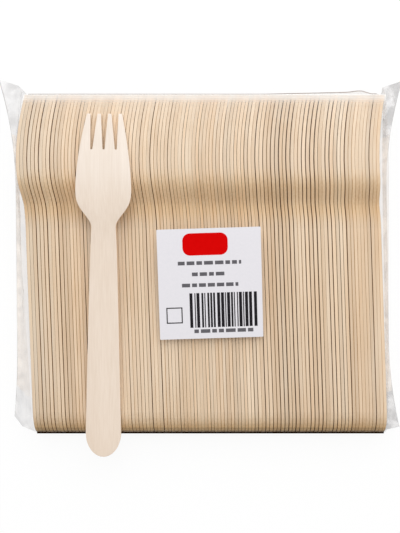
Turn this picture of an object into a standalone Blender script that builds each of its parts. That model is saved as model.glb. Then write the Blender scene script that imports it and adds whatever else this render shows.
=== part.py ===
"""A clear film bag of nested wooden forks lying on its back, with a sticker and one loose fork on top.

The row of forks runs along X, the fork tips point to +Y, and the bag rests on the plane Z = 0.
All sizes are in metres.
"""

import math

import bmesh
import bpy
from mathutils import Matrix, Vector

# The row of nested forks
FORK_COUNT = 100
FORKS_PER_PIECE = 2
FORK_PITCH = 0.001676
CLEARANCE = 0.0003
EDGE_GROOVE = 0.0005

# One fork, with its distances measured from the tips
FORK_LENGTH = 0.160
FORK_THICKNESS = 0.0016
TIP_WIDTH = 0.0161
HEAD_WIDTH = 0.0255
HEAD_AT = 0.0348
NECK_WIDTH = 0.0113
NECK_AT = 0.0520
HANDLE_WIDTH = 0.0165
BUTT_LENGTH = 0.0113
TINE_COUNT = 4
TINE_WIDTH = 0.0016
SLOT_LENGTH = 0.0167
SLOT_ROOT = 0.0009
SLOT_ROOT_SPACING = 0.0056
RIM = 0.0003

# How the fork's outline swells and narrows
HEAD_POWER = 1.6
SHOULDER_POWER = 1.5
HANDLE_POWER = 0.8

# How many steps divide the tines, head, shoulders, handle and butt of a nested and of the loose fork
ROW_STEPS = (1, 1, 3, 1, 3)
LOOSE_STEPS = (3, 4, 7, 6, 5)

# The side view of one fork, as heights above its belly
TIP_RISE = 0.0033
BELLY_AT = 0.0300
NECK_RISE = 0.0027
NECK_RISE_AT = 0.0640
BUTT_RISE = 0.0061

# The film bag, with the distance of its sealed edges from the first and the last fork's belly
FILM = 0.00025
LEFT_EDGE = 0.0034
RIGHT_EDGE = 0.0063
RIGHT_EDGE_LEAN = 0.0030
SEAM_WIDTH = 0.0020
SPAN_STEPS = 4
VENT_RADIUS = 0.0030
VENT_SPACING = 0.1000
VENT_Y = -0.0200

# How far each corner ear of the bag stands out of the sealed edge, and past the forks' ends
EAR_LENGTH = 0.0430
EAR_ROOT_SHARE = 0.65
TIP_EARS_OUT = (0.0077, 0.0072)
TIP_EARS_PAST = (0.0085, 0.0077)
BUTT_EARS_OUT = (0.0017, 0.0045)
BUTT_EARS_PAST = (-0.0073, -0.0030)

# The sticker
LABEL_WIDTH = 0.0482
LABEL_HEIGHT = 0.0514
LABEL_THICKNESS = 0.0002
LABEL_CORNER = 0.0010
LABEL_X = 0.0056
LABEL_Y = -0.0082
LABEL_TURN = math.radians(1.8)

# The loose fork, whose tips lie at this place over the bag
LOOSE_TIP_X = -0.0430
LOOSE_TIP_Y = 0.0698
LOOSE_TURN = math.radians(-0.57)

# Places worked out from the sizes above
HANDLE_END = FORK_LENGTH - BUTT_LENGTH
ROW_TILT = math.atan2((HEAD_WIDTH - HANDLE_WIDTH) / 2, HANDLE_END - HEAD_AT)
ROW_LEFT = -FORK_COUNT * FORK_PITCH / 2
ROW_RIGHT = ROW_LEFT + FORK_COUNT * FORK_PITCH - CLEARANCE
ROW_TIPS_Y = FORK_LENGTH / 2
ROW_LIFT = (
    FILM + CLEARANCE + HEAD_AT * math.sin(ROW_TILT) + HEAD_WIDTH / 2 * math.cos(ROW_TILT)
)


def clear_scene():
    for thing in list(bpy.data.objects):
        bpy.data.objects.remove(thing, do_unlink=True)


def make_material(name, color, roughness, alpha=1.0):
    material = bpy.data.materials.new(name)
    material.use_nodes = True
    shader = material.node_tree.nodes["Principled BSDF"]
    shader.inputs["Base Color"].default_value = (*color, 1)
    shader.inputs["Roughness"].default_value = roughness
    shader.inputs["Alpha"].default_value = alpha
    return material


def make_object(name, bm, material):
    """One closed solid, triangulated, from a bmesh whose points are already in place."""
    bmesh.ops.triangulate(bm, faces=bm.faces)
    bmesh.ops.recalc_face_normals(bm, faces=bm.faces)
    mesh = bpy.data.meshes.new(name)
    bm.to_mesh(mesh)
    bm.free()
    mesh.materials.append(material)
    solid = bpy.data.objects.new(name, mesh)
    bpy.context.collection.objects.link(solid)
    return solid


def mix(start, end, share):
    return start + (end - start) * share


def half_width(s):
    """Half the width of a fork, at a distance s from its tips."""
    if s <= HEAD_AT:
        narrowing = (1 - s / HEAD_AT) ** HEAD_POWER
        return mix(HEAD_WIDTH, TIP_WIDTH, narrowing) / 2
    if s <= NECK_AT:
        turn = math.pi * ((s - HEAD_AT) / (NECK_AT - HEAD_AT)) ** SHOULDER_POWER
        return mix(NECK_WIDTH, HEAD_WIDTH, (1 + math.cos(turn)) / 2) / 2
    if s <= HANDLE_END:
        widening = ((s - NECK_AT) / (HANDLE_END - NECK_AT)) ** HANDLE_POWER
        return mix(NECK_WIDTH, HANDLE_WIDTH, widening) / 2
    rounding = min(1, (s - HANDLE_END) / BUTT_LENGTH)
    return HANDLE_WIDTH / 2 * math.sqrt(1 - rounding**2)


def side_height(s):
    """The height of a fork's face over its belly, at a distance s from its tips."""
    if s <= BELLY_AT:
        return TIP_RISE * (1 - s / BELLY_AT) ** 2
    if s <= NECK_RISE_AT:
        t = (s - BELLY_AT) / (NECK_RISE_AT - BELLY_AT)
        return NECK_RISE * t * t * (3 - 2 * t)
    return mix(NECK_RISE, BUTT_RISE, (s - NECK_RISE_AT) / (FORK_LENGTH - NECK_RISE_AT))


def slotted_row(s):
    """The places across the fork where its four tines start and stop."""
    share = s / SLOT_LENGTH
    slot_count = TINE_COUNT - 1
    mouth = (TIP_WIDTH - TINE_COUNT * TINE_WIDTH) / slot_count
    spacing = mix(mouth + TINE_WIDTH, SLOT_ROOT_SPACING, share)
    half_slot = mix(mouth, SLOT_ROOT, share) / 2
    places = [-half_width(s)]
    for slot in range(slot_count):
        middle = (slot - (slot_count - 1) / 2) * spacing
        places += [middle - half_slot, middle + half_slot]
    return places + [half_width(s)]


def butt_distances(steps):
    """Distances along the rounded end of the handle, at equal turns of its ellipse."""
    turns = [math.pi / 2 * step / steps for step in range(1, steps + 1)]
    return [HANDLE_END + BUTT_LENGTH * math.sin(turn) for turn in turns]


def fork_outline(tine_steps, head_steps, shoulder_steps, handle_steps, butt_steps):
    """A fork's outline as (distance, place across) points, and the faces that fill it."""
    spans = (
        (SLOT_LENGTH, HEAD_AT, head_steps),
        (HEAD_AT, NECK_AT, shoulder_steps),
        (NECK_AT, HANDLE_END, handle_steps),
    )
    slotted = [SLOT_LENGTH * step / tine_steps for step in range(tine_steps + 1)]
    rows = [(s, slotted_row(s)) for s in slotted]
    for start, end, steps in spans:
        for step in range(1, steps + 1):
            s = mix(start, end, step / steps)
            rows.append((s, [-half_width(s), half_width(s)]))
    for s in butt_distances(butt_steps)[:-1]:
        rows.append((s, [-half_width(s), half_width(s)]))
    rows.append((FORK_LENGTH, [0]))

    points, number = [], {}

    def add(row, column):
        number[row, column] = len(points)
        points.append((rows[row][0], rows[row][1][column]))

    for row in range(len(rows)):
        add(row, 0)
    for row in reversed(range(len(rows) - 1)):
        add(row, len(rows[row][1]) - 1)
    for tine in reversed(range(1, TINE_COUNT)):
        for row in range(tine_steps + 1):
            add(row, 2 * tine)
        for row in reversed(range(tine_steps + 1)):
            add(row, 2 * tine - 1)

    faces = []
    for row in range(tine_steps):
        for tine in range(TINE_COUNT):
            left, right = 2 * tine, 2 * tine + 1
            faces.append([(row, left), (row + 1, left), (row + 1, right), (row, right)])
    root_back = [(tine_steps, column) for column in reversed(range(1, 2 * TINE_COUNT))]
    faces.append([(tine_steps, 0), (tine_steps + 1, 0), (tine_steps + 1, 1)] + root_back)
    for row in range(tine_steps + 1, len(rows) - 2):
        faces.append([(row, 0), (row + 1, 0), (row + 1, 1), (row, 1)])
    faces.append([(len(rows) - 2, 0), (len(rows) - 1, 0), (len(rows) - 2, 1)])
    return points, [[number[corner] for corner in face] for face in faces]


def offset_loop(points, distance):
    """A closed loop of flat points, in anticlockwise order, moved outwards by a distance."""
    moved = []
    for index, here in enumerate(points):
        before = Vector(here) - Vector(points[index - 1])
        after = Vector(points[(index + 1) % len(points)]) - Vector(here)
        out_1 = Vector((before.y, -before.x)).normalized()
        out_2 = Vector((after.y, -after.x)).normalized()
        moved.append(Vector(here) + (out_1 + out_2) * (distance / (1 + out_1.dot(out_2))))
    return moved


def make_forks(name, outline, layers, place, material):
    """Closed outlines at several heights through the thickness, joined into one solid.

    layers holds each outline's height and how far it is drawn in from the fork's edge.
    place turns a distance, a place across and a height into a point of the part.
    """
    points, faces = outline
    bm = bmesh.new()
    rings = []
    for height, drawn_in in layers:
        flat = offset_loop([(across, -s) for s, across in points], -drawn_in)
        ring = []
        for (s, _), (across, along) in zip(points, flat):
            ring.append(bm.verts.new(place(-along, across, height + side_height(s))))
        rings.append(ring)
    for face in faces:
        bm.faces.new([rings[0][corner] for corner in reversed(face)])
        bm.faces.new([rings[-1][corner] for corner in face])
    for low, high in zip(rings, rings[1:]):
        for index in range(len(points)):
            following = (index + 1) % len(points)
            bm.faces.new([low[index], low[following], high[following], high[index]])
    return make_object(name, bm, material)


def row_point(s, across):
    """Y and Z of a point of a fork in the row, which lies on its long edge."""
    along = Vector((ROW_TIPS_Y, ROW_LIFT))
    turn = Matrix.Rotation(ROW_TILT, 2)
    return along + turn @ Vector((-s, across))


def make_fork_row(wood):
    """The nested forks of the bag, a few to each solid with a groove between neighbours."""
    outline = fork_outline(*ROW_STEPS)
    for first in range(0, FORK_COUNT, FORKS_PER_PIECE):
        forks = min(FORKS_PER_PIECE, FORK_COUNT - first)
        layers = [(0, 0)]
        for fork in range(1, forks):
            layers.append((fork * FORK_PITCH, EDGE_GROOVE))
            if fork < forks - 1:
                layers.append(((fork + 0.5) * FORK_PITCH, 0))
        layers.append((forks * FORK_PITCH - CLEARANCE, 0))
        back = ROW_LEFT + first * FORK_PITCH

        def place(s, across, height, back=back):
            y, z = row_point(s, across)
            return back + height, y, z

        name = f"fork_pair_{first // FORKS_PER_PIECE + 1:02d}"
        make_forks(name, outline, layers, place, wood)


def row_section():
    """The taut film's section round the row, anticlockwise from +X, with each point's distance.

    It runs from the tips over the top to the handles' ends, and back underneath.
    """
    heads = [0, SLOT_LENGTH / 2, SLOT_LENGTH, HEAD_AT]
    span = [mix(HEAD_AT, HANDLE_END, step / SPAN_STEPS) for step in range(1, SPAN_STEPS)]
    butts = [HANDLE_END] + butt_distances(ROW_STEPS[-1])[:-1]

    def side(sign):
        ridge = row_point(HEAD_AT, sign * half_width(HEAD_AT))
        heel = row_point(HANDLE_END, sign * half_width(HANDLE_END))
        taut = [ridge.lerp(heel, (s - HEAD_AT) / (HANDLE_END - HEAD_AT)) for s in span]
        return (
            [row_point(s, sign * half_width(s)) for s in heads]
            + taut
            + [row_point(s, sign * half_width(s)) for s in butts]
        )

    distances = heads + span + butts
    section = side(1) + [row_point(FORK_LENGTH, 0)] + side(-1)[::-1]
    return section, distances + [FORK_LENGTH] + distances[::-1]


def end_face_x(end, s):
    """How far the first or last fork reaches along X, bridged over its hollows."""
    if end == 0:
        bridge = BUTT_RISE * (s - BELLY_AT) / (FORK_LENGTH - BELLY_AT)
        return ROW_LEFT + (side_height(s) if s < BELLY_AT else min(side_height(s), bridge))
    return ROW_RIGHT + mix(TIP_RISE, BUTT_RISE, s / FORK_LENGTH)


def sealed_edge_x(end, y):
    """Where the bag's flat sealed edge runs, before its ears."""
    if end == 0:
        return ROW_LEFT - LEFT_EDGE
    lean = max(0, (ROW_TIPS_Y - HEAD_AT - y) / (HANDLE_END - HEAD_AT))
    return ROW_RIGHT + RIGHT_EDGE + RIGHT_EDGE_LEAN * lean


def seam_point(end, s, height, reach):
    """A point of the flat seam, from its root at reach 0 to its outer edge at reach 1."""
    outward = -1 if end == 0 else 1
    middle = row_point(s, 0)
    tips_share = max(0, 1 - s / EAR_LENGTH)
    butt_share = max(0, 1 - (FORK_LENGTH - s) / EAR_LENGTH)
    past = TIP_EARS_PAST[end] * tips_share - BUTT_EARS_PAST[end] * butt_share
    out = TIP_EARS_OUT[end] * tips_share**2 + BUTT_EARS_OUT[end] * butt_share**2
    y = middle.x + past * mix(EAR_ROOT_SHARE, 1, reach)
    x = sealed_edge_x(end, y) + outward * (out * reach - SEAM_WIDTH * (1 - reach))
    return x, y, middle.y + height


def make_bag(film):
    """The film, as an outer and an inner skin that meet at two vent holes underneath."""
    section, distances = row_section()
    half = len(section) // 2
    bm = bmesh.new()

    def skin(gap, seam_height, reaches, inset):
        """Rings along X from one seam to the other, closed at both edges."""
        flat = offset_loop([tuple(point) for point in section], gap)
        rings = []
        for end in (0, 1):
            outward = -1 if end == 0 else 1
            flats = []
            for reach in reaches:
                ring = []
                for index, s in enumerate(distances):
                    side = (index < half) - (index > half)
                    x, y, z = seam_point(end, s, side * seam_height, reach)
                    y *= 1 - inset / ROW_TIPS_Y
                    ring.append((x - outward * inset, y, z))
                flats.append(ring)
            full = [
                (end_face_x(end, s) + outward * gap, y, z) for s, (y, z) in zip(distances, flat)
            ]
            rings += flats + [full] if end == 0 else [full] + flats[::-1]
        rings = [[bm.verts.new(point) for point in ring] for ring in rings]
        for here, there in zip(rings, rings[1:]):
            for index in range(len(section)):
                bm.faces.new([here[index - 1], here[index], there[index], there[index - 1]])
        for ring in (rings[0], rings[-1]):
            for index in range(half):
                corners = [ring[index], ring[index + 1], ring[-2 - index], ring[-1 - index]]
                bm.faces.new(list(dict.fromkeys(corners)))

    skin(CLEARANCE + FILM, FILM, (1, 0), 0)
    outer = set(bm.faces)
    skin(CLEARANCE, FILM / 5, (0,), 2 * FILM)
    bmesh.ops.recalc_face_normals(bm, faces=list(outer))
    inner = [face for face in bm.faces if face not in outer]
    bmesh.ops.recalc_face_normals(bm, faces=inner)
    bmesh.ops.reverse_faces(bm, faces=inner)
    bmesh.ops.triangulate(bm, faces=bm.faces)
    mesh = bpy.data.meshes.new("bag")
    bm.to_mesh(mesh)
    bm.free()
    mesh.materials.append(film)
    bag = bpy.data.objects.new("bag", mesh)
    bpy.context.collection.objects.link(bag)
    for side in (-1, 1):
        cut_vent(bag, side)
    return bag


def cut_vent(bag, side):
    """A round vent hole through the film under the handles."""
    name = f"vent_cutter_{'left' if side < 0 else 'right'}"
    bm = bmesh.new()
    bmesh.ops.create_cone(
        bm, cap_ends=True, segments=16, radius1=VENT_RADIUS, radius2=VENT_RADIUS, depth=2 * FILM
    )
    mesh = bpy.data.meshes.new(name)
    bm.to_mesh(mesh)
    bm.free()
    cutter = bpy.data.objects.new(name, mesh)
    cutter.location = (side * VENT_SPACING / 2, VENT_Y, FILM / 2)
    cutter.hide_render = True
    cutter.display_type = "WIRE"
    bpy.context.collection.objects.link(cutter)
    cut = bag.modifiers.new(name, "BOOLEAN")
    cut.operation = "DIFFERENCE"
    cut.solver = "EXACT"
    cut.object = cutter


def bag_top():
    """The film's outer top line as Y and Z points, from the fork tips to the handles' ends."""
    section, distances = row_section()
    flat = offset_loop([tuple(point) for point in section], CLEARANCE + FILM)
    half = len(section) // 2
    return flat[:half], distances[:half]


def height_on(line, y):
    """The height at Y of a line of points that runs towards -Y, or nothing past its ends."""
    for here, there in zip(line, line[1:]):
        if there.x <= y <= here.x:
            return mix(here.y, there.y, (here.x - y) / (here.x - there.x))
    return None


def make_label(paper):
    """The sticker, flat on the film over the handles."""
    line, distances = bag_top()
    ridge, heel = line[distances.index(HEAD_AT)], line[distances.index(HANDLE_END)]
    slope = math.atan2(ridge.y - heel.y, ridge.x - heel.x)
    bm = bmesh.new()
    bmesh.ops.create_cube(bm, size=1)
    bmesh.ops.scale(bm, vec=(LABEL_WIDTH, LABEL_HEIGHT, LABEL_THICKNESS), verts=bm.verts)
    corners = [e for e in bm.edges if abs(e.verts[0].co.z - e.verts[1].co.z) > LABEL_THICKNESS / 2]
    bmesh.ops.bevel(
        bm, geom=corners, offset=LABEL_CORNER, segments=3, profile=0.5, affect="EDGES"
    )
    label = make_object("label", bm, paper)
    rise = (CLEARANCE + LABEL_THICKNESS / 2) / math.cos(slope)
    label.matrix_world = (
        Matrix.Translation((LABEL_X, LABEL_Y, height_on(line, LABEL_Y) + rise))
        @ Matrix.Rotation(slope, 4, "X")
        @ Matrix.Rotation(LABEL_TURN, 4, "Z")
    )


def make_loose_fork(wood):
    """The fork that lies face down on the bag, on its tips and on the ridge over the handles."""
    line, distances = bag_top()
    heel = line[distances.index(HANDLE_END)]
    tips_film = height_on(line, LOOSE_TIP_Y)
    heel_s = LOOSE_TIP_Y - heel.x
    film_slope = math.atan2(tips_film - heel.y, heel_s)
    fork_slope = math.atan2(side_height(heel_s) - side_height(0), heel_s)
    turn = (
        Matrix.Rotation(LOOSE_TURN, 4, "Z")
        @ Matrix.Rotation(film_slope - fork_slope, 4, "X")
        @ Matrix.Rotation(math.pi, 4, "Y")
    )
    outline = fork_outline(*LOOSE_STEPS)

    lift = 0
    for s, _ in outline[0]:
        low = turn @ Vector((0, -s, FORK_THICKNESS + side_height(s)))
        film = height_on(line, LOOSE_TIP_Y + low.y)
        if film is not None:
            lift = max(lift, film + CLEARANCE / math.cos(film_slope) - low.z)
    tips = Vector((LOOSE_TIP_X, LOOSE_TIP_Y, lift))

    def place(s, across, height):
        return tips + turn @ Vector((across, -s, height))

    layers = [(0, RIM), (RIM, 0), (FORK_THICKNESS - RIM, 0), (FORK_THICKNESS, RIM)]
    make_forks("loose_fork", outline, layers, place, wood)


def main():
    clear_scene()
    wood = make_material("birch", (0.69, 0.52, 0.36), 0.6)
    film = make_material("clear_film", (0.82, 0.81, 0.80), 0.15, alpha=0.25)
    paper = make_material("sticker_paper", (0.79, 0.78, 0.82), 0.5)
    make_fork_row(wood)
    make_bag(film)
    make_label(paper)
    make_loose_fork(wood)


main()
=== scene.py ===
# %% [markdown]
# # A clear bag of nested wooden forks
# A hundred wooden forks lie nested in one row, like spoons in a drawer, inside a bag of thin clear film. A
# paper sticker sits on the film, and one more fork lies on top. The camera looks straight down at it.
#
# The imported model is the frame: every piece made here takes its place from it, and stands for one of its
# parts.

# %% Load the frame
import math
import random

import bpy
from mathutils import Matrix, Vector, noise


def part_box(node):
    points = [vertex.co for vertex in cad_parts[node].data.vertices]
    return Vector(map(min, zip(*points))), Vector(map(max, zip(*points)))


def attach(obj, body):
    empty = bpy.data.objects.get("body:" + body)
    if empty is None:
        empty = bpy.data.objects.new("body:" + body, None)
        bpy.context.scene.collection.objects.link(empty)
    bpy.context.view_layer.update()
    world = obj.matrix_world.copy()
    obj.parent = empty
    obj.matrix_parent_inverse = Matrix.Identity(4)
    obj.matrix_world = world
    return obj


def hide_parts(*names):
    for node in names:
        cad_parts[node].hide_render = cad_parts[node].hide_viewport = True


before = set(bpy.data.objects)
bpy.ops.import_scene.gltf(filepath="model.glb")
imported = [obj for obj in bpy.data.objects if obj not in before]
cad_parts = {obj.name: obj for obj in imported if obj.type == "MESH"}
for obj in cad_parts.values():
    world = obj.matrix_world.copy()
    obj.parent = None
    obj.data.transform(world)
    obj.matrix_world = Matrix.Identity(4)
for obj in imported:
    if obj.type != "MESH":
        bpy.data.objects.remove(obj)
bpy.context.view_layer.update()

# %% [markdown]
# ## Small helpers
# Blender's operators act on whatever is selected, so each step starts by selecting nothing. Colours are
# picked as the 0 to 255 values that a picture shows, and a shader wants them linear, so one function turns
# them round.


# %% Helpers
def deselect():
    if bpy.context.object and bpy.context.object.mode != "OBJECT":
        bpy.ops.object.mode_set(mode="OBJECT")
    bpy.ops.object.select_all(action="DESELECT")


def pick(thing):
    deselect()
    thing.select_set(True)
    bpy.context.view_layer.objects.active = thing


def mix(start, end, share):
    return start + (end - start) * share


def read_table(table, place):
    """The value at a place, between the two entries that it lies between."""
    for (start, low), (end, high) in zip(table, table[1:]):
        if place <= end:
            return mix(low, high, max(0, place - start) / (end - start))
    return table[-1][1]


def tint(red, green, blue):
    """A picture's colour as the linear colour that a shader takes."""
    linear = [((c / 255 + 0.055) / 1.055) ** 2.4 if c > 10 else c / 3295 for c in (red, green, blue)]
    return (*linear, 1.0)


def apply_all(thing):
    pick(thing)
    for modifier in list(thing.modifiers):
        bpy.ops.object.modifier_apply(modifier=modifier.name)


def delete_faces(thing, chosen):
    """Deletes the faces whose index is in chosen, as by hand in edit mode."""
    pick(thing)
    bpy.ops.object.mode_set(mode="EDIT")
    bpy.ops.mesh.select_mode(type="FACE")
    bpy.ops.mesh.select_all(action="DESELECT")
    bpy.ops.object.mode_set(mode="OBJECT")
    for index in chosen:
        thing.data.polygons[index].select = True
    bpy.ops.object.mode_set(mode="EDIT")
    bpy.ops.mesh.delete(type="FACE")
    bpy.ops.object.mode_set(mode="OBJECT")


def merge_doubles(thing, distance):
    pick(thing)
    bpy.ops.object.mode_set(mode="EDIT")
    bpy.ops.mesh.select_all(action="SELECT")
    bpy.ops.mesh.remove_doubles(threshold=distance)
    bpy.ops.object.mode_set(mode="OBJECT")


# %% [markdown]
# ## The camera
# The photograph looks straight down from about 36 cm above the table, and the pack fills the width of the
# picture.

# %% Camera
CAMERA_PLACE = (0.0009, -0.0003, 0.360)
LENS, SENSOR_WIDTH, NEAREST_SEEN = 49.04, 36, 0.01

camera_data = bpy.data.cameras.new("camera")
camera_data.lens = LENS
camera_data.sensor_width = SENSOR_WIDTH
camera_data.clip_start = NEAREST_SEEN
camera = bpy.data.objects.new("camera", camera_data)
camera.location = CAMERA_PLACE
bpy.context.scene.collection.objects.link(camera)
bpy.context.scene.camera = camera
print("camera at", CAMERA_PLACE, "with a lens of", LENS, "mm")

# %% [markdown]
# ## The floor and the light
# The pack lies on plain white. The floor adds a glow that only the camera and the reflections see, so it
# looks white without throwing more light on the wood, and the part that stays matt keeps the soft shadow.
# One large soft lamp stands at the fork tips' side, and the white world fills the shadows.

# %% Floor and light
WHITE = (1.0, 1.0, 1.0, 1.0)
FLOOR_SIZE, FLOOR_DROP = 6.0, 0.0002
FLOOR_GLOW = 0.90
FLOOR_MATT = (0.11, 0.11, 0.11, 1.0)
FLOOR_PLAIN = (0.8, 0.8, 0.8, 1.0)
WORLD_LIGHT, BACKDROP_LIGHT = 0.60, 1.0
LAMP_PLACE = Vector((0.03, 0.50, 0.62))
LAMP_SIZE = 0.85
LAMP_WATTS = 4.12


def seen_directly(nodes, links):
    """A socket that is 1 for what the camera sees, also in a reflection or through the film."""
    ray = nodes.new("ShaderNodeLightPath")
    socket = ray.outputs["Is Camera Ray"]
    for kind in ("Is Glossy Ray", "Is Transmission Ray"):
        either = nodes.new("ShaderNodeMath")
        either.operation = "MAXIMUM"
        links.new(socket, either.inputs[0])
        links.new(ray.outputs[kind], either.inputs[1])
        socket = either.outputs[0]
    return socket


bpy.context.scene.view_settings.view_transform = "Standard"

deselect()
bpy.ops.mesh.primitive_plane_add(size=FLOOR_SIZE, location=(0, 0, -FLOOR_DROP))
floor = bpy.context.object
floor.name = "floor"
floor_material = bpy.data.materials.new("white_floor")
floor_material.use_nodes = True
nodes, links = floor_material.node_tree.nodes, floor_material.node_tree.links
nodes.clear()
matt = nodes.new("ShaderNodeBsdfDiffuse")
matt.inputs["Color"].default_value = FLOOR_MATT
glow = nodes.new("ShaderNodeEmission")
glow.inputs["Strength"].default_value = FLOOR_GLOW
both = nodes.new("ShaderNodeAddShader")
plain = nodes.new("ShaderNodeBsdfDiffuse")
plain.inputs["Color"].default_value = FLOOR_PLAIN
choose = nodes.new("ShaderNodeMixShader")
output = nodes.new("ShaderNodeOutputMaterial")
links.new(matt.outputs[0], both.inputs[0])
links.new(glow.outputs[0], both.inputs[1])
links.new(seen_directly(nodes, links), choose.inputs[0])
links.new(plain.outputs[0], choose.inputs[1])
links.new(both.outputs[0], choose.inputs[2])
links.new(choose.outputs[0], output.inputs["Surface"])
floor.data.materials.append(floor_material)

world = bpy.data.worlds.new("white_world")
world.use_nodes = True
nodes, links = world.node_tree.nodes, world.node_tree.links
ambient = nodes["Background"]
ambient.inputs["Color"].default_value = WHITE
ambient.inputs["Strength"].default_value = WORLD_LIGHT
backdrop = nodes.new("ShaderNodeBackground")
backdrop.inputs["Color"].default_value = WHITE
backdrop.inputs["Strength"].default_value = BACKDROP_LIGHT
choose = nodes.new("ShaderNodeMixShader")
links.new(seen_directly(nodes, links), choose.inputs[0])
links.new(ambient.outputs[0], choose.inputs[1])
links.new(backdrop.outputs[0], choose.inputs[2])
links.new(choose.outputs[0], nodes["World Output"].inputs["Surface"])
bpy.context.scene.world = world

deselect()
bpy.ops.object.light_add(type="AREA", location=LAMP_PLACE)
lamp = bpy.context.object
lamp.data.size = LAMP_SIZE
lamp.data.energy = LAMP_WATTS
lamp.rotation_euler = (-LAMP_PLACE).to_track_quat("-Z", "Y").to_euler()
print("floor", FLOOR_SIZE, "m across, one lamp of", LAMP_WATTS, "W")

# %% [markdown]
# ## Birch
# The forks are pale birch. Noise stretched along Y, the way the wood was cut, makes the fine grain. A
# number stored on each fork, its tone, makes one fork a little darker or warmer than the next, as in a real
# pack. The same number also carries painted light: a painted highlight near the tips, painted shade at the
# neck and on the rounded end of the row's forks, brighter and dimmer stretches along the loose fork, and
# painted shade on the first forks at the row's left end. A cut edge drinks more light than its planed face,
# so it gets a darker birch of its own. Where the cut runs across the grain, at the shoulders and the
# rounded end, the open pores make it browner still, and a second number says how much; that brown is partly
# end grain and partly painted shade below the shoulders and on the rounded end. Both rims of a cut edge get
# a darker, browner birch of their own, made darker still by a number on each fork: a painted shade of the
# groove between one nested fork and the next, and that brown line is what tells one fork from the next.
# Between two nested forks the light bounces from wood to wood and turns brown, so those faces get a deeper
# birch: a painted shade.


# %% Birch
GRAIN_STRETCH = (1500, 28, 1500)
PATCH_STRETCH = (70, 12, 70)
# the brown of the cut edge across the grain: end grain, and painted shade too
END_GRAIN_AND_SHADE = (0.88, 0.71, 0.44, 1.0)
DEEP_AT, PALE_AT = 0.35, 0.65
GRAIN_BUMP, GRAIN_DEPTH = 0.15, 0.0001


def make_birch(name, pale, deep, end, roughness):
    material = bpy.data.materials.new(name)
    material.use_nodes = True
    nodes, links = material.node_tree.nodes, material.node_tree.links
    shader = nodes["Principled BSDF"]
    shader.inputs["Roughness"].default_value = roughness
    place = nodes.new("ShaderNodeTexCoord")
    layers = []
    for stretch, detail in ((GRAIN_STRETCH, 3), (PATCH_STRETCH, 2)):
        mapping = nodes.new("ShaderNodeMapping")
        mapping.inputs["Scale"].default_value = stretch
        pattern = nodes.new("ShaderNodeTexNoise")
        pattern.inputs["Scale"].default_value = 1.0
        pattern.inputs["Detail"].default_value = detail
        links.new(place.outputs["Object"], mapping.inputs["Vector"])
        links.new(mapping.outputs["Vector"], pattern.inputs["Vector"])
        layers.append(pattern)
    average = nodes.new("ShaderNodeMix")
    average.inputs["Factor"].default_value = 0.5
    links.new(layers[0].outputs["Fac"], average.inputs["A"])
    links.new(layers[1].outputs["Fac"], average.inputs["B"])
    ramp = nodes.new("ShaderNodeValToRGB")
    ramp.color_ramp.elements[0].position = DEEP_AT
    ramp.color_ramp.elements[0].color = deep
    ramp.color_ramp.elements[1].position = PALE_AT
    ramp.color_ramp.elements[1].color = pale
    links.new(average.outputs["Result"], ramp.inputs["Fac"])
    tone_and_light = nodes.new("ShaderNodeAttribute")
    tone_and_light.attribute_name = "tone_and_light"
    shade = nodes.new("ShaderNodeMix")
    shade.data_type = "RGBA"
    shade.blend_type = "MULTIPLY"
    shade.inputs["Factor"].default_value = 1.0
    grain_and_shade = nodes.new("ShaderNodeAttribute")
    grain_and_shade.attribute_name = "end_grain_and_shade"
    ends = nodes.new("ShaderNodeMix")
    ends.data_type = "RGBA"
    ends.blend_type = "MULTIPLY"
    ends.inputs["B"].default_value = end
    links.new(grain_and_shade.outputs["Fac"], ends.inputs["Factor"])
    links.new(ramp.outputs["Color"], ends.inputs["A"])
    links.new(ends.outputs["Result"], shade.inputs["A"])
    links.new(tone_and_light.outputs["Color"], shade.inputs["B"])
    links.new(shade.outputs["Result"], shader.inputs["Base Color"])
    bump = nodes.new("ShaderNodeBump")
    bump.inputs["Strength"].default_value = GRAIN_BUMP
    bump.inputs["Distance"].default_value = GRAIN_DEPTH
    links.new(layers[0].outputs["Fac"], bump.inputs["Height"])
    links.new(bump.outputs["Normal"], shader.inputs["Normal"])
    return material


birch_face = make_birch("birch_face", tint(240, 225, 210), tint(231, 214, 197), WHITE, 0.6)
# a deeper brown birch for the faces between nested forks: a painted shade
birch_inner_shade = make_birch("birch_inner_shade", tint(178, 112, 48), tint(148, 86, 32), WHITE, 0.8)
birch_edge = make_birch("birch_edge", tint(246, 226, 201), tint(231, 203, 171), END_GRAIN_AND_SHADE, 0.7)
# a darker, browner birch for the rims of a cut edge: a painted shade of the groove between nested forks
birch_rim_shade = make_birch("birch_rim_shade", tint(232, 202, 164), tint(208, 172, 130), END_GRAIN_AND_SHADE, 0.8)
print("made", birch_face.name, birch_inner_shade.name, birch_edge.name, "and", birch_rim_shade.name)

# %% [markdown]
# ## The fork's shape
# Every fork is punched from the same sheet and pressed to a gentle curve. Two formulas give its outline and
# its side view, at a distance from the tips, so the fork blank, the row and the film all agree.

# %% Sizes of one fork, in metres
FORK_LENGTH = 0.160
TIP_WIDTH = 0.0161
HEAD_WIDTH, HEAD_AT = 0.0255, 0.0348
NECK_WIDTH, NECK_AT = 0.0113, 0.0520
HANDLE_WIDTH, BUTT_LENGTH = 0.0165, 0.0113
TINE_COUNT, TINE_WIDTH = 4, 0.0016
SLOT_LENGTH, SLOT_ROOT, SLOT_ROOT_SPACING = 0.0167, 0.0009, 0.0056
TIP_RISE, BELLY_AT = 0.0033, 0.0300
NECK_RISE, NECK_RISE_AT, BUTT_RISE = 0.0027, 0.0640, 0.0061
HEAD_POWER, SHOULDER_POWER, HANDLE_POWER = 1.6, 1.5, 0.8
HANDLE_END = FORK_LENGTH - BUTT_LENGTH


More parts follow.
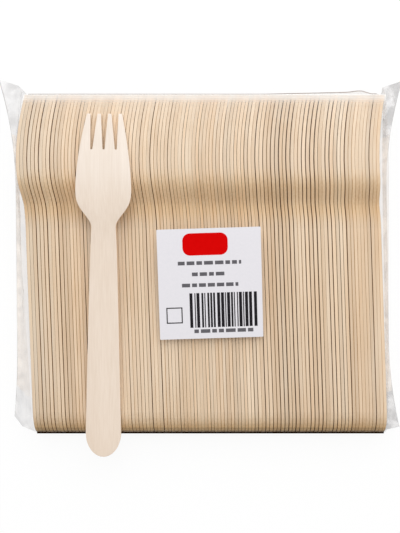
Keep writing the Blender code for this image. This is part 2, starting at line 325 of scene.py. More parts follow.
def half_width(s):
    if s <= HEAD_AT:
        return mix(HEAD_WIDTH, TIP_WIDTH, (1 - s / HEAD_AT) ** HEAD_POWER) / 2
    if s <= NECK_AT:
        turn = math.pi * ((s - HEAD_AT) / (NECK_AT - HEAD_AT)) ** SHOULDER_POWER
        return mix(NECK_WIDTH, HEAD_WIDTH, (1 + math.cos(turn)) / 2) / 2
    if s <= HANDLE_END:
        widening = ((s - NECK_AT) / (HANDLE_END - NECK_AT)) ** HANDLE_POWER
        return mix(NECK_WIDTH, HANDLE_WIDTH, widening) / 2
    rounding = min(1, (s - HANDLE_END) / BUTT_LENGTH)
    return HANDLE_WIDTH / 2 * math.sqrt(1 - rounding**2)


def side_height(s):
    if s <= BELLY_AT:
        return TIP_RISE * (1 - s / BELLY_AT) ** 2
    if s <= NECK_RISE_AT:
        t = (s - BELLY_AT) / (NECK_RISE_AT - BELLY_AT)
        return NECK_RISE * t * t * (3 - 2 * t)
    return mix(NECK_RISE, BUTT_RISE, (s - NECK_RISE_AT) / (FORK_LENGTH - NECK_RISE_AT))


def tine_edges(s):
    """The eight places across the fork where its four tines start and stop, kept on below their roots."""
    share = min(1, s / SLOT_LENGTH)
    slots = TINE_COUNT - 1
    mouth = (TIP_WIDTH - TINE_COUNT * TINE_WIDTH) / slots
    squeeze = min(1, half_width(s) / half_width(NECK_AT))
    spacing = mix(mouth + TINE_WIDTH, SLOT_ROOT_SPACING, share) * squeeze
    half_slot = mix(mouth, SLOT_ROOT, share) / 2 * squeeze
    if s > SLOT_LENGTH:
        spacing *= half_width(s) / half_width(SLOT_LENGTH)
    places = [-half_width(s)]
    for slot in range(slots):
        middle = (slot - (slots - 1) / 2) * spacing
        places += [middle - half_slot, middle + half_slot]
    return places + [half_width(s)]


print("a fork is", 1000 * FORK_LENGTH, "mm long and", 1000 * HEAD_WIDTH, "mm wide")

# %% [markdown]
# ## The fork blank
# A flat grid is the easiest start: its eight columns become the edges of the four tines and its rows run
# down the fork. The faces between the tines are deleted, then Solidify gives the wood its thickness and
# Bevel eases the rims.

# %% Model the fork blank
COLUMNS = 2 * TINE_COUNT - 1
NECK_END = 0.0620
# distance from the tips and share of the full brown, along the cut edge: end grain, and painted shade below
# the shoulders and on the rounded end
BROWNING_AND_SHADE = (
    (0, 0), (0.0250, 0.04), (0.0337, 0.07), (0.0365, 0.16), (0.0392, 0.38), (0.0420, 0.56), (0.0473, 0.56),
    (0.0529, 0.60), (0.0556, 0.50), (0.0584, 0.24), (NECK_END, 0.12), (0.1000, 0.15), (0.1200, 0.07),
    (0.1430, 0), (HANDLE_END, 0.12), (0.1515, 0.27), (0.1544, 0.58), (0.1572, 0.99), (FORK_LENGTH, 1),
)
# distance from the tips and the painted light on the wood there: a painted highlight near the tips, a
# little painted shade at the neck, deep painted shade on the rounded end
EDGE_PAINTED_LIGHT = (
    (0, 1.02), (0.0008, 1.06), (0.0022, 1.13), (0.0037, 1.04), (0.0060, 1), (0.0480, 1), (0.0540, 0.97),
    (0.0600, 0.97), (0.0660, 1), (0.1480, 1), (0.1544, 0.91), (0.1560, 0.84), (0.1576, 0.62),
    (0.1590, 0.36), (FORK_LENGTH, 0.30),
)
# the first millimetres have rows of their own, because the painted highlight changes quickly there
TIP_BAND, TIP_BAND_STEPS = 0.0045, 3
BLANK_MERGE, BEVEL_FROM, FORK_SMOOTH = 0.00002, math.radians(50), math.radians(35)
# the third slot holds the rims of a cut edge, which get a painted groove shade
EDGE_SLOT, SIDE_SLOT, RIM_SHADE_SLOT = 0, 1, 2
SIDE_LEVEL, RIM_LEVEL = 0.85, 0.35


def fork_distances(tines, head, shoulders, neck, handle, butt):
    """Distances from the tips to the end of the handle, with more of them where the outline turns."""
    stops = ((0, TIP_BAND, TIP_BAND_STEPS), (TIP_BAND, SLOT_LENGTH, tines), (SLOT_LENGTH, HEAD_AT, head))
    stops += ((HEAD_AT, NECK_AT, shoulders), (NECK_AT, NECK_END, neck), (NECK_END, HANDLE_END, handle))
    distances = [mix(a, b, step / steps) for a, b, steps in stops for step in range(steps)]
    turns = [math.pi / 2 * step / butt for step in range(butt + 1)]
    return distances + [HANDLE_END + BUTT_LENGTH * math.sin(turn) for turn in turns]


def make_blank(name, steps, thickness, rim, rim_steps, shaded_rims, sides):
    """A fork with its tips at the origin, its handle towards -Y and its hollow side up."""
    distances = fork_distances(*steps)[::-1]
    deselect()
    bpy.ops.mesh.primitive_grid_add(
        x_subdivisions=COLUMNS, y_subdivisions=len(distances) - 1, size=1, location=(0, 0, 0)
    )
    blank = bpy.context.object
    blank.name = name
    for row, s in enumerate(distances):
        for column, across in enumerate(tine_edges(s)):
            blank.data.vertices[row * (COLUMNS + 1) + column].co = (across, -s, side_height(s))
    slots = [
        row * COLUMNS + column
        for row in range(len(distances) - 1)
        for column in range(1, COLUMNS, 2)
        if distances[row] < SLOT_LENGTH + 1e-6
    ]
    delete_faces(blank, slots)
    merge_doubles(blank, BLANK_MERGE)
    wall = blank.modifiers.new("wall", "SOLIDIFY")
    wall.thickness = thickness
    wall.offset = 1
    rims = blank.modifiers.new("rims", "BEVEL")
    rims.width = rim
    rims.segments = rim_steps
    rims.limit_method = "ANGLE"
    rims.angle_limit = BEVEL_FROM
    apply_all(blank)
    for material in (birch_edge, sides, birch_rim_shade):
        blank.data.materials.append(material)
    for face in blank.data.polygons:
        level = abs(face.normal.z)
        if level > SIDE_LEVEL:
            face.material_index = SIDE_SLOT
        else:
            face.material_index = RIM_SHADE_SLOT if shaded_rims and level > RIM_LEVEL else EDGE_SLOT
    # a number on each point: how much end-grain brown and painted shade it gets
    grain_and_shade = blank.data.attributes.new("end_grain_and_shade", "FLOAT", "POINT")
    grain_and_shade.data.foreach_set("value", [read_table(BROWNING_AND_SHADE, -v.co.y) for v in blank.data.vertices])
    bpy.ops.object.shade_smooth_by_angle(angle=FORK_SMOOTH)
    return blank


ROW_STEPS = (3, 4, 8, 4, 5, 6)
NESTED_THICKNESS = 0.00155
FINE_RIM, WORN_RIM = 0.00006, 0.00015
row_blanks = [
    make_blank(name, ROW_STEPS, NESTED_THICKNESS, rim, 1, True, birch_inner_shade)
    for name, rim in (("fine_blank", FINE_RIM), ("worn_blank", WORN_RIM))
]
# for each face of each blank, the painted highlight or shade at its distance from the tips
edge_painted_light = [
    [read_table(EDGE_PAINTED_LIGHT, -face.center.y) for face in blank.data.polygons] for blank in row_blanks
]
print("the blanks have", [len(blank.data.polygons) for blank in row_blanks], "faces")

# %% [markdown]
# ## The row of forks
# A hundred copies stand on their long edges, nested one against the next. In a real pack they are not
# spaced evenly: most forks cling together and a few stand apart. A seeded random number raised to a high
# power does just that: it is nearly always small and now and then close to one. The gaps share out what is
# left of the row's length, and they are drawn once for the tips and a little differently for the handles,
# so each fork leans its own way. Towards the middle, below the camera, the forks are closed up, since a gap
# seen straight down would show the white floor as a bright line. More of them get the wider rims there, and
# their rims get more painted shade, so that the lines between them still show.

# %% Place the row
FORK_COUNT, FORKS_PER_PIECE, FORK_PITCH = 100, 2, 0.001676
FILM, CLEARANCE = 0.00025, 0.0003
ROW_TILT = math.atan2((HEAD_WIDTH - HANDLE_WIDTH) / 2, HANDLE_END - HEAD_AT)
ROW_LEFT = -FORK_COUNT * FORK_PITCH / 2
ROW_RIGHT = ROW_LEFT + FORK_COUNT * FORK_PITCH - CLEARANCE
ROW_TIPS_Y = FORK_LENGTH / 2
ROW_LIFT = FILM + CLEARANCE + HEAD_AT * math.sin(ROW_TILT) + HEAD_WIDTH / 2 * math.cos(ROW_TILT)
LEAST_GAP, CLOSED_GAP, GAP_POWER = 0.00003, 0.00001, 4
LOOK_THROUGH, STRAIGHT_DOWN, WIDEST_BUTT_SHARE = 0.034, 0.0045, 0.6
WORN_SHARE, CLOSED_WORN_SHARE = 0.4, 0.9
# how dark the painted shade on the rims gets, and how often; below the camera it falls on more of them
DARKEST_RIM_SHADE, RIM_SHADE_POWER, CLOSED_RIM_SHADE_POWER = 0.18, 3, 0.8
# the first forks at the row's left end are darkened: a painted shade
LEFT_END_SHADE, FIRST_FORKS = 0.92, 12
TIPS_INSET, SLIDE, UNEVEN = 0.0002, 0.00006, (0.6, 1.4)
TONE_RANGE, WARMTH_RANGE, BLUE_LOSS = (0.87, 1.03), (-0.012, 0.028), 2.2
SEED = 226674

dice = random.Random(SEED)
shares, least_gaps = [], []
for number in range(1, FORK_COUNT):
    from_camera = abs(mix(ROW_LEFT, ROW_RIGHT, number / FORK_COUNT) - CAMERA_PLACE[0])
    least_gaps.append(LEAST_GAP if from_camera > STRAIGHT_DOWN else CLOSED_GAP)
    shares.append(dice.random() ** GAP_POWER * min(1, from_camera / LOOK_THROUGH))
uneven = [min(share * dice.uniform(*UNEVEN), WIDEST_BUTT_SHARE) for share in shares]
slack = ROW_RIGHT - ROW_LEFT - FORK_COUNT * NESTED_THICKNESS - sum(least_gaps)
tip_gaps, butt_gaps = (
    [least + slack * share / sum(drawn) for least, share in zip(least_gaps, drawn)] + [0]
    for drawn in (shares, uneven)
)


def fork_colour(tone_and_light, warmth):
    return (tone_and_light, tone_and_light * (1 - warmth), tone_and_light * (1 - BLUE_LOSS * warmth), 1)


stand = Matrix.Rotation(ROW_TILT, 4, "X") @ Matrix.Rotation(math.pi / 2, 4, "Y")
tip_x = butt_x = ROW_LEFT
for piece in range(FORK_COUNT // FORKS_PER_PIECE):
    deselect()
    for number in range(piece * FORKS_PER_PIECE, (piece + 1) * FORKS_PER_PIECE):
        closed_up = 1 - min(1, abs(tip_x - CAMERA_PLACE[0]) / LOOK_THROUGH)
        worn = dice.random() < mix(WORN_SHARE, CLOSED_WORN_SHARE, closed_up)
        mesh = row_blanks[worn].data.copy()
        slid = dice.uniform(-SLIDE, SLIDE)
        place = Matrix.Translation((tip_x, ROW_TIPS_Y - TIPS_INSET + slid, ROW_LIFT))
        lean = Matrix.Rotation((butt_x - tip_x) / FORK_LENGTH, 4, "Z")
        mesh.transform(place @ lean @ stand)
        tone_and_light, warmth = dice.uniform(*TONE_RANGE), dice.uniform(*WARMTH_RANGE)
        tone_and_light *= mix(LEFT_END_SHADE, 1, min(1, number / FIRST_FORKS))
        rim_shade_power = mix(RIM_SHADE_POWER, CLOSED_RIM_SHADE_POWER, closed_up)
        # painted shade on this fork's rims, a random share of the darkest
        rim_shade = tone_and_light * (1 - (1 - DARKEST_RIM_SHADE) * dice.random() ** rim_shade_power)
        tones_and_light = mesh.attributes.new("tone_and_light", "FLOAT_COLOR", "FACE")
        # each face's tone number: the fork's own tone times the painted light along its edge
        for face, painted_edge_light in zip(mesh.polygons, edge_painted_light[worn]):
            face_tone_and_light = rim_shade if face.material_index == RIM_SHADE_SLOT else tone_and_light
            tones_and_light.data[face.index].color = fork_colour(face_tone_and_light * painted_edge_light, warmth)
        if number in (0, FORK_COUNT - 1):
            mesh.materials[SIDE_SLOT] = birch_face
        fork = bpy.data.objects.new(f"forks_{piece + 1:02d}", mesh)
        bpy.context.scene.collection.objects.link(fork)
        fork.select_set(True)
        bpy.context.view_layer.objects.active = fork
        tip_x += NESTED_THICKNESS + tip_gaps[number]
        butt_x += NESTED_THICKNESS + butt_gaps[number]
    bpy.ops.object.join()
    pair = bpy.context.object
    pair.name = f"forks_{piece + 1:02d}"
    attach(pair, "root")
    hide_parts(f"fork_pair_{piece + 1:02d}")
for blank in row_blanks:
    bpy.data.objects.remove(blank, do_unlink=True)
print(FORK_COUNT, "forks, widest gap", round(1000 * max(tip_gaps + butt_gaps), 2), "mm")

# %% [markdown]
# ## The loose fork
# The same fork again, with finer rims because it is seen close. It lies face down on the bag: its place and
# its slope are read from the frame's own fork.

# %% Lay the loose fork
LOOSE_STEPS = (8, 10, 14, 6, 12, 10)
LOOSE_TURN = math.radians(-0.57)
LOOSE_TIP_X = -0.0430
FORK_THICKNESS, LOOSE_RIM, LOOSE_RIM_STEPS = 0.0016, 0.0003, 3
# share of the fork's length from its tips, with the painted light there (brightest over the head, dimmer at
# the neck, bright again along the handle) and a warmth that rises towards the handle
LOOSE_PAINTED_LIGHT = ((0, 1.03), (0.17, 1.07), (0.25, 1.06), (0.33, 1.02), (0.60, 1.05), (1, 1.06))
LOOSE_WARMTHS = ((0, -0.030), (0.17, -0.028), (0.25, -0.002), (0.33, 0.011), (0.60, 0.012), (1, 0.024))

loose = make_blank(
    "fork_loose", LOOSE_STEPS, FORK_THICKNESS, LOOSE_RIM, LOOSE_RIM_STEPS, False, birch_face
)
cad_fork = [vertex.co.copy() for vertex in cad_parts["loose_fork"].data.vertices]
tip, butt = max(cad_fork, key=lambda p: p.y), min(cad_fork, key=lambda p: p.y)
lying = math.atan2(tip.z - butt.z, tip.y - butt.y)
own = math.atan2(BUTT_RISE - TIP_RISE, FORK_LENGTH)
over = Matrix.Rotation(math.pi, 4, "Y")
loose.data.transform(
    Matrix.Rotation(LOOSE_TURN, 4, "Z") @ Matrix.Rotation(lying - own, 4, "X") @ over
)
cad_corner, cad_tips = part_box("loose_fork")
back = cad_corner.y - min(vertex.co.y for vertex in loose.data.vertices)
lift = cad_corner.z - min(vertex.co.z for vertex in loose.data.vertices)
loose.data.transform(Matrix.Translation((LOOSE_TIP_X, back, lift)))
# the loose fork's tone number carries the painted light along it
tones_and_light = loose.data.attributes.new("tone_and_light", "FLOAT_COLOR", "FACE")
for face in loose.data.polygons:
    along = (cad_tips.y - face.center.y) / FORK_LENGTH
    tone_and_light, warmth = read_table(LOOSE_PAINTED_LIGHT, along), read_table(LOOSE_WARMTHS, along)
    tones_and_light.data[face.index].color = fork_colour(tone_and_light, warmth)
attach(loose, "root")
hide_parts("loose_fork")
print("the loose fork leans", round(math.degrees(lying - own), 2), "degrees")

# %% [markdown]
# ## The film
# The bag is one sheet of clear film, wrapped round the row and welded flat at both ends, with an ear at
# each corner. A grid is rolled into a tube: its rows run round the pack and its columns from weld to weld.
# The film is see-through because of a plain alpha on its shader, and fine noise makes it crinkle in the
# light; the same noise paints lighter and darker patches into its colour, a painted light and shade on the
# crinkles that is strongest on the ears. Where the film is drawn tight over the heads it looks milky, most
# of all over the tips, so a row of hazes fades out along the forks; their white is partly that milkiness
# and partly a painted highlight where the tips face the lamp.


# %% Film finish
FINE_FACETS, BROAD_FACETS, FACET_DETAIL, FACET_TWIST = 160.0, 120.0, 3, 1.2
FILM_DEEP_AT, FILM_PALE_AT, CRINKLE_DEPTH = 0.38, 0.62, 0.0006


def make_film(name, alpha, pale, deep, crinkle, facets=FINE_FACETS, shine=0.12, roughness=0.12):
    material = bpy.data.materials.new(name)
    material.use_nodes = True
    nodes, links = material.node_tree.nodes, material.node_tree.links
    shader = nodes["Principled BSDF"]
    shader.inputs["Alpha"].default_value = alpha
    shader.inputs["Roughness"].default_value = roughness
    shader.inputs["Specular IOR Level"].default_value = shine
    place = nodes.new("ShaderNodeTexCoord")
    pattern = nodes.new("ShaderNodeTexNoise")
    pattern.inputs["Scale"].default_value = facets
    pattern.inputs["Detail"].default_value = FACET_DETAIL
    pattern.inputs["Distortion"].default_value = FACET_TWIST
    # the noise also paints the film lighter and darker between pale and deep: painted light and shade on
    # the crinkles
    ramp = nodes.new("ShaderNodeValToRGB")
    ramp.color_ramp.elements[0].position = FILM_DEEP_AT
    ramp.color_ramp.elements[0].color = deep
    ramp.color_ramp.elements[1].position = FILM_PALE_AT
    ramp.color_ramp.elements[1].color = pale
    bump = nodes.new("ShaderNodeBump")
    bump.inputs["Strength"].default_value = crinkle
    bump.inputs["Distance"].default_value = CRINKLE_DEPTH
    links.new(place.outputs["Object"], pattern.inputs["Vector"])
    links.new(pattern.outputs["Fac"], ramp.inputs["Fac"])
    links.new(ramp.outputs["Color"], shader.inputs["Base Color"])
    links.new(pattern.outputs["Fac"], bump.inputs["Height"])
    links.new(bump.outputs["Normal"], shader.inputs["Normal"])
    return material


film_clear = make_film("film_clear", 0.010, tint(250, 249, 250), tint(236, 235, 238), 0.15)
# pale and grey patches on the ears: painted light and shade on the crumpled film
ear_painted_light, ear_painted_shade = tint(244, 242, 242), tint(170, 166, 166)
film_left_ears = make_film("film_left_ears", 0.20, ear_painted_light, ear_painted_shade, 0.4, BROAD_FACETS)
film_right_ears = make_film("film_right_ears", 0.32, ear_painted_light, ear_painted_shade, 0.4, BROAD_FACETS)
film_panel = make_film("film_panel", 0.24, tint(253, 237, 219), tint(200, 180, 160), 0.4, BROAD_FACETS)
# distance from the fork tips that each haze reaches to, and how much of the film it hides; the white is
# partly milky film and partly a painted highlight over the tips
HAZES_AND_HIGHLIGHT = (
    (0.0006, 0.61), (0.0013, 0.56), (0.0021, 0.60), (0.0030, 0.47), (0.0040, 0.29), (0.0050, 0.18),
    (0.0061, 0.13), (0.0084, 0.09), (0.0120, 0.07), (0.0350, 0.04), (0.0430, 0.02),
)
TIP_END_HAZE_AND_HIGHLIGHT = 5
HAZE_SHINE, HAZE_ROUGHNESS, HAZE_CRINKLE = 1.0, 0.5, 0.2
# white and cream of the hazes: milky film, and a painted highlight over the tips
haze_and_highlight_white, haze_and_highlight_cream = tint(255, 255, 252), tint(255, 251, 246)
milky_and_highlight_films = []
for step, (_, alpha) in enumerate(HAZES_AND_HIGHLIGHT):
    haze_and_highlight = make_film(
        f"film_haze_and_highlight_{step + 1:02d}", alpha, haze_and_highlight_white, haze_and_highlight_cream, HAZE_CRINKLE,
        shine=HAZE_SHINE * alpha, roughness=HAZE_ROUGHNESS,
    )
    milky_and_highlight_films.append(haze_and_highlight)
film_edge = make_film("film_edge", 0.32, tint(196, 190, 188), tint(168, 162, 160), 0.1)
film_line = make_film("film_line", 0.85, tint(180, 166, 158), tint(158, 144, 136), 0.1)
# a dark brown film for the strip along the heels of the handles: a painted shadow
painted_butt_shadow = make_film("painted_butt_shadow", 0.97, tint(48, 30, 12), tint(32, 19, 7), 0.1, shine=0.0)
print("made", film_clear.name, film_panel.name, film_line.name, "and", len(milky_and_highlight_films), "hazes")

# %% [markdown]
# ## The bag's shape
# Round the row the film follows the forks' ends and stretches straight from the heads to the heels of the
# handles. Past the row's ends it closes to a flat weld at half height. The ears reach further out and past
# the forks. The folds of the end panels come from a noise that Blender starts from the clock, so it is
# given a seed first: without one, every run would fold the film differently.

# %% Roll the bag
LEFT_EDGE, RIGHT_EDGE, RIGHT_EDGE_LEAN, SEAM_WIDTH = 0.0034, 0.0063, 0.0030, 0.0020
EAR_LENGTH, TIP_ROOT_SHARE, BUTT_ROOT_SHARE = 0.0430, 0.65, 0.30
TIP_EARS_OUT, TIP_EARS_PAST = (0.0077, 0.0072), (0.0085, 0.0077)
BUTT_EARS_OUT, BUTT_EARS_PAST = (0.0017, 0.0045), (-0.0073, -0.0020)
VENT_RADIUS, VENT_SPACING, VENT_Y = 0.0030, 0.1000, -0.0200
CRUMPLE_SCALE, CRUMPLE_HEIGHTS = 190, (0.0006, 0.0026)
PANEL_FOLD_SCALE, PANEL_FOLD, FOLD_SEED = 260, 0.0013, 1
HEAD_RINGS, SPAN_RINGS, BUTT_RINGS, ROW_RINGS, PANEL_RINGS = 28, 16, 6, 72, 6
HEAD_CROWDING = 1.25
WELD_REACHES = (1, 0.95, 0.7, 0.45, 0.2, 0)
FILM_INSIDE, BAG_MERGE, FILM_SMOOTH, UNDERSIDE = 0.8, 0.00001, math.radians(40), 0.002
# place along the row and how far the film's fold stands past the fork tips there
FOLDS = (
    (-0.0900, 0.0010), (0.0304, 0.0010), (0.0674, 0.0018), (0.0722, 0.0020), (0.0749, 0.0025),
    (0.0772, 0.0027), (0.0793, 0.0021), (0.0822, 0.0012), (0.0900, 0.0010),
)


def row_point(s, across):
    """Y and Z of a point of a fork in the row."""
    return Vector((ROW_TIPS_Y, ROW_LIFT)) + Matrix.Rotation(ROW_TILT, 2) @ Vector((-s, across))


def film_section():
    """The film's line round the row as Y and Z points, with each point's distance and side."""
    heads = [HEAD_AT * (step / HEAD_RINGS) ** HEAD_CROWDING for step in range(HEAD_RINGS)]
    span = [mix(HEAD_AT, HANDLE_END, step / SPAN_RINGS) for step in range(SPAN_RINGS)]
    turns = [math.pi / 2 * step / BUTT_RINGS for step in range(BUTT_RINGS)]
    butts = [HANDLE_END + BUTT_LENGTH * math.sin(turn) for turn in turns]

    def wide(s):
        if HEAD_AT < s < HANDLE_END:
            share = (s - HEAD_AT) / (HANDLE_END - HEAD_AT)
            return mix(half_width(HEAD_AT), half_width(HANDLE_END), share)
        return half_width(s)

    top = [(s, 1) for s in heads + span + butts] + [(FORK_LENGTH, 0)]
    line = top + [(s, -1) for s in (heads + span + butts)[::-1]] + [(0, 0)]
    points = [row_point(s, side * wide(s)) for s, side in line]
    moved = []
    gap = CLEARANCE + FILM * FILM_INSIDE
    for index, here in enumerate(points):
        along = points[(index + 1) % len(points)] - points[index - 1]
        outward = Vector((along.y, -along.x)).normalized()
        if line[index][0] == 0 and line[index][1] != 0:
            outward.x = 0
        moved.append(here + outward * gap)
    return moved, line


def end_face_x(end, s):
    if end == 0:
        bridge = BUTT_RISE * (s - BELLY_AT) / (FORK_LENGTH - BELLY_AT)
        return ROW_LEFT + (side_height(s) if s < BELLY_AT else min(side_height(s), bridge))
    return ROW_RIGHT + mix(TIP_RISE, BUTT_RISE, s / FORK_LENGTH)


def weld_point(end, s, height, reach):
    """A point of the flat weld, from its root at reach 0 to its outer edge at reach 1."""
    outward = -1 if end == 0 else 1
    middle = row_point(s, 0)
    tips_share = max(0, 1 - s / EAR_LENGTH)
    butt_share = max(0, 1 - (FORK_LENGTH - s) / EAR_LENGTH)
    past = TIP_EARS_PAST[end] * tips_share * mix(TIP_ROOT_SHARE, 1, reach)
    past -= BUTT_EARS_PAST[end] * butt_share * mix(BUTT_ROOT_SHARE, 1, reach)
    out = TIP_EARS_OUT[end] * tips_share**2 + BUTT_EARS_OUT[end] * butt_share**2
    y = middle.x + past
    if end == 0:
        edge = ROW_LEFT - LEFT_EDGE
    else:
        lean = max(0, (ROW_TIPS_Y - HEAD_AT - y) / (HANDLE_END - HEAD_AT))
        edge = ROW_RIGHT + RIGHT_EDGE + RIGHT_EDGE_LEAN * lean
    x = edge + outward * (out * reach - SEAM_WIDTH * (1 - reach))
    return Vector((x, y, middle.y + height))


def film_rings():
    section, line = film_section()
    rings = []
    for end in (0, 1):
        outward = -1 if end == 0 else 1
        side = []
        for reach in WELD_REACHES:
            height = 0 if reach == 1 else FILM
            ring = [weld_point(end, s, which * height, reach) for s, which in line]
            if reach not in (0, 1):
                for point, (s, _) in zip(ring, line):
                    ear = max(0, 1 - s / EAR_LENGTH, 1 - (FORK_LENGTH - s) / EAR_LENGTH)
                    crumple = Vector((point.x, point.y, 0)) * CRUMPLE_SCALE
                    point.z += noise.noise(crumple) * mix(*CRUMPLE_HEIGHTS, ear)
            side.append(ring)
        full = [
            Vector((end_face_x(end, s) + outward * CLEARANCE, *flat)) for (s, _), flat in zip(line, section)
        ]
        for step in range(1, PANEL_RINGS):
            share = step / PANEL_RINGS
            ring = []
            for root, face in zip(side[len(WELD_REACHES) - 1], full):
                point = root.lerp(face, share)
                fold = noise.noise_vector(point * PANEL_FOLD_SCALE) * PANEL_FOLD * math.sin(math.pi * share)
                ring.append(point + Vector((fold.x, fold.y, fold.z)))
            side.append(ring)
        side.append(full)
        if end == 0:
            full[-1].y += read_table(FOLDS, full[-1].x)
            rings += side
            left = full
        else:
            for step in range(1, ROW_RINGS):
                ring = [a.lerp(b, step / ROW_RINGS) for a, b in zip(left, full)]
                ring[-1].y = full[-1].y + read_table(FOLDS, ring[-1].x)
                rings.append(ring)
            rings += side[::-1]
    return rings


noise.seed_set(FOLD_SEED)
rings = film_rings()
around = len(rings[0])
deselect()
bpy.ops.mesh.primitive_grid_add(x_subdivisions=around, y_subdivisions=len(rings) - 1, size=1)
bag = bpy.context.object
bag.name = "film_bag"
bag_low, bag_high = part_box("bag")
for row, ring in enumerate(rings):
    for column in range(around + 1):
        point = ring[column % around]
        kept = [min(max(c, low), high) for c, low, high in zip(point, bag_low, bag_high)]
        bag.data.vertices[row * (around + 1) + column].co = kept
gathered = len(WELD_REACHES) + PANEL_RINGS - 1
line = film_section()[1]
finishes = (film_clear, film_edge, film_panel, film_left_ears, film_right_ears, *milky_and_highlight_films)
for face in bag.data.polygons:
    row, column = divmod(face.index, around)
    (start, side), (end, next_side) = line[column], line[(column + 1) % around]
    from_tips = (start + end) / 2
    haze_and_highlight = sum(from_tips >= reach for reach, _ in HAZES_AND_HIGHLIGHT)
    finish = film_clear
    if row in (0, len(rings) - 2):
        finish = film_edge
    elif row < gathered or row >= len(rings) - 1 - gathered:
        ears = film_left_ears if row < gathered else film_right_ears
        finish = film_panel if EAR_LENGTH / 2 < from_tips < FORK_LENGTH - EAR_LENGTH / 2 else ears
    # the tip end faces and the film over the heads take the hazes: milky film and painted highlight
    elif from_tips == 0:
        finish = milky_and_highlight_films[TIP_END_HAZE_AND_HIGHLIGHT]
    elif side == next_side == 1 and haze_and_highlight < len(milky_and_highlight_films):
        finish = milky_and_highlight_films[haze_and_highlight]
    face.material_index = finishes.index(finish)
for finish in finishes:
    bag.data.materials.append(finish)
merge_doubles(bag, BAG_MERGE)
print("the bag has", len(bag.data.polygons), "faces")

# %% Open the vents and finish the bag
vents = [Vector((side * VENT_SPACING / 2, VENT_Y)) for side in (-1, 1)]
inside = [
    face.index
    for face in bag.data.polygons
    if face.center.z < UNDERSIDE and any((face.center.xy - vent).length < VENT_RADIUS for vent in vents)
]
delete_faces(bag, inside)
pick(bag)
bpy.ops.object.mode_set(mode="EDIT")
bpy.ops.mesh.select_all(action="SELECT")
bpy.ops.mesh.normals_make_consistent(inside=False)
bpy.ops.object.mode_set(mode="OBJECT")
bpy.ops.object.shade_smooth_by_angle(angle=FILM_SMOOTH)
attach(bag, "root")
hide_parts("bag")
print("opened", len(inside), "faces for the two vents")

# %% [markdown]
# ## The tip crease and a painted shadow
# Where the film turns back under the fork tips it is creased, and the crease shows as one thin grey line.
# It turns back under the handles too, and there a dark brown strip lies on the film: a painted shadow, for
# the wood's shade under the rounded ends. Each is a narrow strip along one of the film's lines, from a
# fraction of a millimetre to a little over a millimetre wide.


# %% Draw the crease and the painted shadow
TIP_CREASE, TIP_CREASE_OUT = 0.00034, 0.00012
# the second strip, along the heels of the handles, is a painted shadow
BUTT_SHADOW, BUTT_SHADOW_IN = 0.0012, -0.00015
STRIP_THICKNESS, STRIP_LIFT = 0.00006, 0.0001


def make_strip(name, places, width, finish):
    """A strip along the row that follows these places on the film."""
    deselect()
    bpy.ops.mesh.primitive_grid_add(x_subdivisions=1, y_subdivisions=len(places) - 1, size=1)
    strip = bpy.context.object
    strip.name = name
    for step, point in enumerate(places):
        for side in (0, 1):
            place = point + Vector((0, (side - 0.5) * width, STRIP_LIFT))
            strip.data.vertices[2 * step + side].co = place
    thick = strip.modifiers.new("thick", "SOLIDIFY")
    thick.thickness = STRIP_THICKNESS
    apply_all(strip)
    strip.data.materials.append(finish)
    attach(strip, "root")
    print(name, "is", round(1000 * (places[-1].x - places[0].x)), "mm long")


row_rings = rings[gathered : gathered + ROW_RINGS + 1]
tips = [ring[-1] + Vector((0, TIP_CREASE_OUT, 0)) for ring in row_rings]
make_strip("film_crease_tips", tips, TIP_CREASE, film_line)
# a painted shadow along the heels of the handles, on the film
shadow_places = [ring[around // 2 - 1] + Vector((0, BUTT_SHADOW_IN, 0)) for ring in row_rings]
make_strip("painted_shadow_butts", shadow_places, BUTT_SHADOW, painted_butt_shadow)

# %% [markdown]
# ## The sticker
# The sticker is a rounded sheet of paper. Its print is kept to plain shapes: a red field, grey lines where
# there would be words, upright bars and a square. Each colour is one thin piece lying just above the paper.


# %% Paper and ink
PAPER_SHINE = 0.02


def make_paper(name, pale, deep, scale, roughness):
    material = bpy.data.materials.new(name)
    material.use_nodes = True
    nodes, links = material.node_tree.nodes, material.node_tree.links
    shader = nodes["Principled BSDF"]
    shader.inputs["Roughness"].default_value = roughness
    shader.inputs["Specular IOR Level"].default_value = PAPER_SHINE
    place = nodes.new("ShaderNodeTexCoord")
    pattern = nodes.new("ShaderNodeTexNoise")
    pattern.inputs["Scale"].default_value = scale
    ramp = nodes.new("ShaderNodeValToRGB")
    ramp.color_ramp.elements[0].color = deep
    ramp.color_ramp.elements[1].color = pale
    links.new(place.outputs["Object"], pattern.inputs["Vector"])
    links.new(pattern.outputs["Fac"], ramp.inputs["Fac"])
    links.new(ramp.outputs["Color"], shader.inputs["Base Color"])
    return material


paper = make_paper("sticker_paper", tint(240, 237, 241), tint(233, 231, 236), 900, 0.5)
red_ink = make_paper("red_ink", tint(226, 6, 6), tint(214, 2, 2), 600, 0.6)
dark_ink = make_paper("dark_ink", tint(44, 42, 46), tint(28, 27, 30), 600, 0.6)
grey_ink = make_paper("grey_ink", tint(112, 110, 114), tint(92, 90, 95), 600, 0.6)
print("made", paper.name, red_ink.name, dark_ink.name, "and", grey_ink.name)

# %% [markdown]
# ## Laying out the print
# Every printed shape is a small flat plane in the sticker's own millimetres, measured from its middle. The
# planes of one colour are joined and then laid on the sloping film together with the paper.

# %% Lay the sticker
LABEL_WIDTH, LABEL_HEIGHT, LABEL_CORNER = 0.0482, 0.0514, 0.0004
LABEL_THICKNESS, CORNER_STEPS = 0.0001, 4
LABEL_TURN = math.radians(1.8)
UPRIGHT = 1e-7
INK_LIFT, INK_THICKNESS = 0.00003, 0.00001

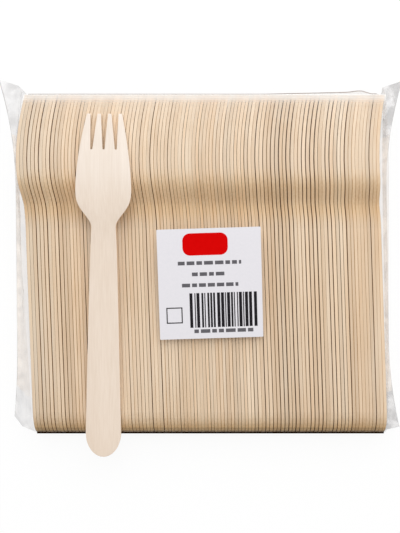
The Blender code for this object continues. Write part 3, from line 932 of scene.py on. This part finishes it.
cad_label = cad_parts["label"]
top_normal = max(cad_label.data.polygons, key=lambda face: (face.normal.z > 0, face.area)).normal
label_slope = math.atan2(-top_normal.y, top_normal.z)
label_low, label_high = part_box("label")
lay = (
    Matrix.Translation((label_low + label_high) / 2)
    @ Matrix.Rotation(label_slope, 4, "X")
    @ Matrix.Rotation(LABEL_TURN, 4, "Z")
)


def round_corners(thing, offset, segments):
    """Rounds a flat sheet's corners: the vertical edges of a thin box."""
    pick(thing)
    bpy.ops.object.mode_set(mode="EDIT")
    bpy.ops.mesh.select_mode(type="EDGE")
    bpy.ops.mesh.select_all(action="DESELECT")
    bpy.ops.object.mode_set(mode="OBJECT")
    points = thing.data.vertices
    for edge in thing.data.edges:
        a, b = (points[index].co for index in edge.vertices)
        edge.select = (a.xy - b.xy).length < UPRIGHT
    bpy.ops.object.mode_set(mode="EDIT")
    bpy.ops.mesh.bevel(offset=offset, segments=segments, affect="EDGES")
    bpy.ops.object.mode_set(mode="OBJECT")


def thin_box(name, centre, size, thickness, lift):
    deselect()
    bpy.ops.mesh.primitive_cube_add(size=1)
    box = bpy.context.object
    box.name = name
    place = Matrix.Translation((*centre, lift))
    box.data.transform(place @ Matrix.Diagonal((*size, thickness, 1)))
    return box


def finish_sheet(sheet, material):
    sheet.data.materials.append(material)
    sheet.data.transform(lay)
    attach(sheet, "root")


sticker = thin_box("sticker", (0, 0), (LABEL_WIDTH, LABEL_HEIGHT), LABEL_THICKNESS, 0)
round_corners(sticker, LABEL_CORNER, CORNER_STEPS)
finish_sheet(sticker, paper)
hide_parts("label")


def print_shapes(name, shapes):
    """Joins flat shapes, given in millimetres as middle and size, into one printed piece."""
    made = []
    for x, y, width, height in shapes:
        centre, size = (x / 1000, y / 1000), (width / 1000, height / 1000)
        made.append(thin_box(name, centre, size, INK_THICKNESS, LABEL_THICKNESS / 2 + INK_LIFT))
    pick(made[0])
    for shape in made:
        shape.select_set(True)
    if len(made) > 1:
        bpy.ops.object.join()
    return bpy.context.object


RED_FIELD = (-1.8, 18.4, 21.0, 10.3)
FIELD_CORNER, FIELD_CORNER_STEPS = 0.0035, 8
field = print_shapes("print_red_field", [RED_FIELD])
round_corners(field, FIELD_CORNER, FIELD_CORNER_STEPS)
finish_sheet(field, red_ink)

WORD_HEIGHT, WORD_LENGTHS, SHORTEST_WORD, WORD_SPACE = 1.7, (2.0, 4.6), 1, 0.9
WORD_LINES = ((9.7, -14.7, 14.7), (4.5, -8.3, 8.3), (-0.6, -13.1, 13.1), (-22.2, -8.0, 19.5))
words = []
for y, start, end in WORD_LINES:
    x = start
    while x < end - SHORTEST_WORD:
        length = min(dice.uniform(*WORD_LENGTHS), end - x)
        words.append((x + length / 2, y, length, WORD_HEIGHT))
        x += length + WORD_SPACE
finish_sheet(print_shapes("print_lines", words), grey_ink)

BARS_LEFT, BARS_RIGHT, BARS_Y, BARS_HEIGHT = -9.8, 21.0, -12.4, 16.2
BAR_WIDTHS, BAR_SPACES, THINNEST_BAR = (0.5, 0.5, 0.9, 1.4), (0.45, 0.45, 0.9), 0.5
bars = []
x = BARS_LEFT
while x < BARS_RIGHT - THINNEST_BAR:
    width = dice.choice(BAR_WIDTHS)
    bars.append((x + width / 2, BARS_Y, width, BARS_HEIGHT))
    x += width + dice.choice(BAR_SPACES)
finish_sheet(print_shapes("print_bars", bars), dark_ink)

SQUARE_X, SQUARE_Y, SQUARE, LINE = -17.0, -14.5, 7.0, 0.5
square = [(SQUARE_X + side * SQUARE / 2, SQUARE_Y, LINE, SQUARE + LINE) for side in (-1, 1)]
square += [(SQUARE_X, SQUARE_Y + side * SQUARE / 2, SQUARE, LINE) for side in (-1, 1)]
finish_sheet(print_shapes("print_square", square), dark_ink)
print(len(words), "word shapes and", len(bars), "bars")
